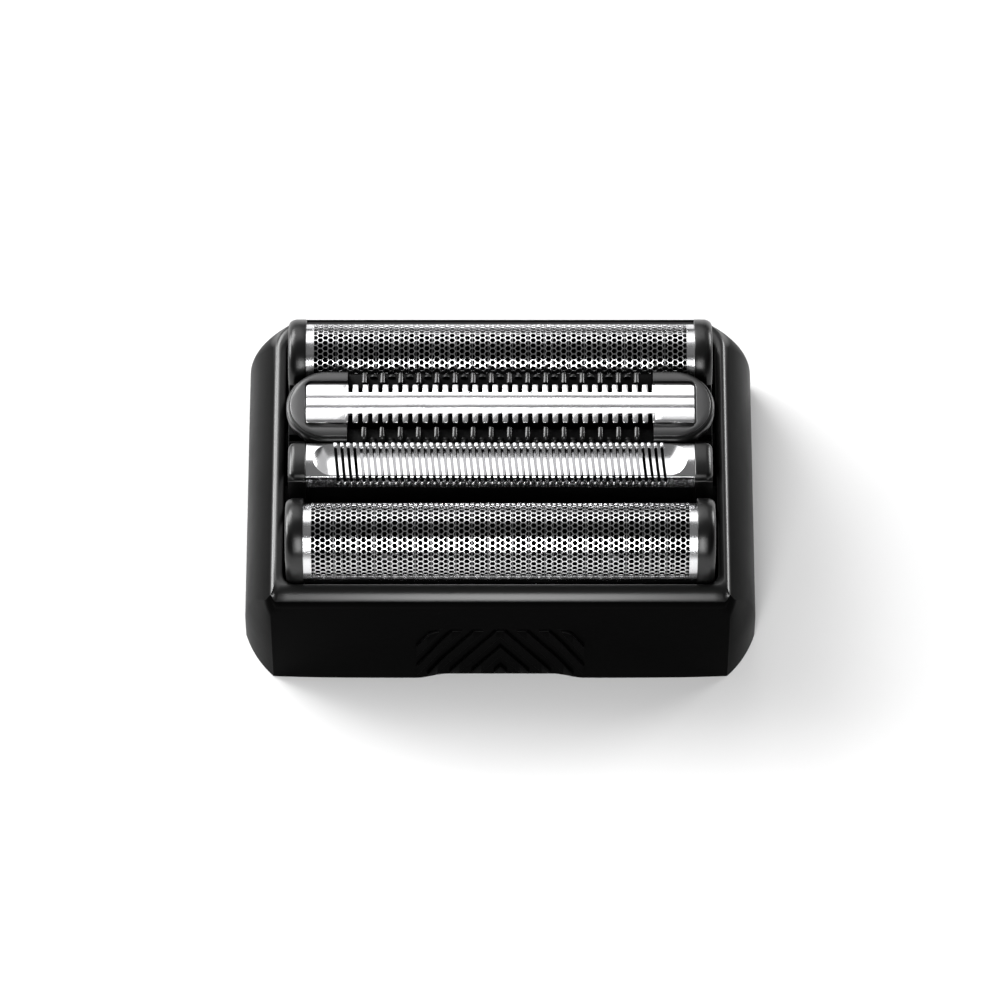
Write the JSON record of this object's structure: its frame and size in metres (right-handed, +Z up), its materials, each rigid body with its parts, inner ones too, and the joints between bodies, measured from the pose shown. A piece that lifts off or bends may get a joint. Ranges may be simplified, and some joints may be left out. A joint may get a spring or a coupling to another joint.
{
  "type": "foil shaver head cassette",
  "caption": "Shaver head cassette: perforated foils, a two-sided comb trimmer and a slotted guard trimmer float in a moulded frame over a sliding cutter drive.",
  "frame": {"origin": "centre of the underside rim that meets the handle", "axes": "+X along the foils, +Y to the back (the side of the comb trimmer), +Z up out of the foils"},
  "size_m": [0.0498, 0.034, 0.0195],
  "materials": {
    "frame_plastic": "fine satin texture, black",
    "inner_plastic": "matt, black",
    "cap_plastic": "polished, black",
    "ring_plastic": "fine matt, mid grey",
    "foil_steel": "bright electroformed sheet",
    "bar_steel": "ground, fine lengthwise grain",
    "guard_steel": "bright pressed sheet",
    "blade_steel": "ground blade steel",
    "drive_plastic": "natural acetal",
    "bush_brass": "turned",
    "spring_steel": "drawn wire"
  },
  "bodies": {
    "frame": {"outer_frame": "frame_plastic", "base_plate": "inner_plastic"},
    "drive": {"drive_carrier": "drive_plastic", "drive_bush": "bush_brass", "front_springs": "spring_steel", "rear_springs": "spring_steel", "comb_springs": "spring_steel", "guard_springs": "spring_steel"},
    "front_foil_unit": {"front_foil": "foil_steel", "front_foil_holder": "inner_plastic", "front_cap_left": "cap_plastic", "front_cap_right": "cap_plastic"},
    "rear_foil_unit": {"rear_foil": "foil_steel", "rear_foil_holder": "inner_plastic", "rear_cap_left": "cap_plastic", "rear_cap_right": "cap_plastic"},
    "comb_unit": {"comb_body": "cap_plastic", "comb_ring_left": "ring_plastic", "comb_ring_right": "ring_plastic", "comb_bar": "bar_steel"},
    "guard_unit": {"guard_holder": "inner_plastic", "guard_sheet": "guard_steel", "guard_cap_left": "cap_plastic", "guard_cap_right": "cap_plastic"},
    "front_cutter": {"front_lamellae": "blade_steel", "front_cutter_block": "drive_plastic"},
    "rear_cutter": {"rear_lamellae": "blade_steel", "rear_cutter_block": "drive_plastic"},
    "comb_cutter": {"comb_blade": "blade_steel", "comb_slider": "drive_plastic"},
    "guard_cutter": {"guard_blade": "blade_steel", "guard_slider": "drive_plastic"}
  },
  "joints": [
    {"name": "drive_slide", "type": "slide", "parent": "frame", "child": "drive", "axis": [1, 0, 0], "range_m": [-0.0012, 0.0012]},
    {"name": "front_foil_float", "type": "slide", "parent": "frame", "child": "front_foil_unit", "axis": [0, 0, 1], "range_m": [-0.0015, 0], "stiffness_N_per_m": 300, "springref_m": 0.002},
    {"name": "front_cutter_float", "type": "slide", "parent": "drive", "child": "front_cutter", "axis": [0, 0, 1], "range_m": [-0.0015, 0], "deforming": ["front_springs"]},
    {"name": "rear_foil_float", "type": "slide", "parent": "frame", "child": "rear_foil_unit", "axis": [0, 0, 1], "range_m": [-0.0015, 0], "stiffness_N_per_m": 300, "springref_m": 0.002},
    {"name": "rear_cutter_float", "type": "slide", "parent": "drive", "child": "rear_cutter", "axis": [0, 0, 1], "range_m": [-0.0015, 0], "deforming": ["rear_springs"]},
    {"name": "comb_float", "type": "slide", "parent": "frame", "child": "comb_unit", "axis": [0, 0, 1], "range_m": [-0.0012, 0], "stiffness_N_per_m": 300, "springref_m": 0.002},
    {"name": "comb_cutter_float", "type": "slide", "parent": "drive", "child": "comb_cutter", "axis": [0, 0, 1], "range_m": [-0.0012, 0], "deforming": ["comb_springs"]},
    {"name": "guard_float", "type": "slide", "parent": "frame", "child": "guard_unit", "axis": [0, 0, 1], "range_m": [-0.0012, 0], "stiffness_N_per_m": 300, "springref_m": 0.002},
    {"name": "guard_cutter_float", "type": "slide", "parent": "drive", "child": "guard_cutter", "axis": [0, 0, 1], "range_m": [-0.0012, 0], "deforming": ["guard_springs"]}
  ],
  "couplings": [
    {"joint": "front_cutter_float", "follows": "front_foil_float", "ratio": 1},
    {"joint": "rear_cutter_float", "follows": "rear_foil_float", "ratio": 1},
    {"joint": "comb_cutter_float", "follows": "comb_float", "ratio": 1},
    {"joint": "guard_cutter_float", "follows": "guard_float", "ratio": 1}
  ]
}
